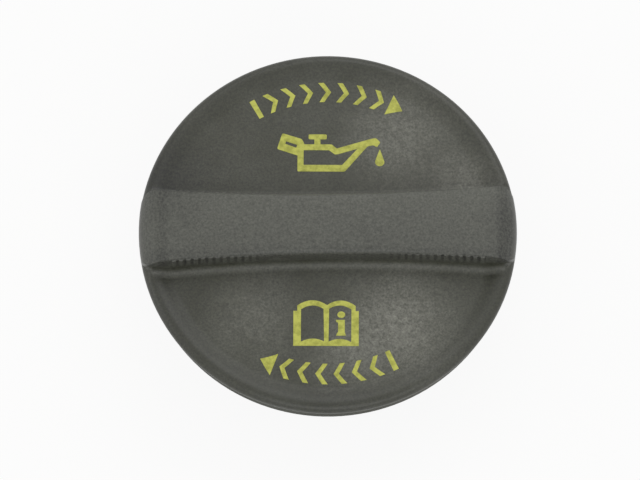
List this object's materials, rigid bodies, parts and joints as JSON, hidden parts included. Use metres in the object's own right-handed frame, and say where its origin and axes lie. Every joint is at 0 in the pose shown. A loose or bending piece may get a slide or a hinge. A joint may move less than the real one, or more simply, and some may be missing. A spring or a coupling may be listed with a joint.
{
  "type": "oil filler cap",
  "caption": "Round quarter-turn filler cap with a full-width waisted grip bar, a raised rim, a hollow stem with bayonet lugs and a seal ring.",
  "frame": {"origin": "on the turning axis, in the plane of the stem's end, which the cap stands on", "axes": "+Z along the turning axis from the stem to the grip bar, X along the grip bar, -Y towards the front of the cap"},
  "size_m": [0.068, 0.068, 0.0255],
  "materials": {
    "filled_nylon": "fine moulded grain",
    "seal_rubber": "smooth",
    "marking_ink": "pad-printed ink, satin"
  },
  "bodies": {
    "root": {"cap_body": "filled_nylon", "o_ring": "seal_rubber"}
  },
  "joints": []
}
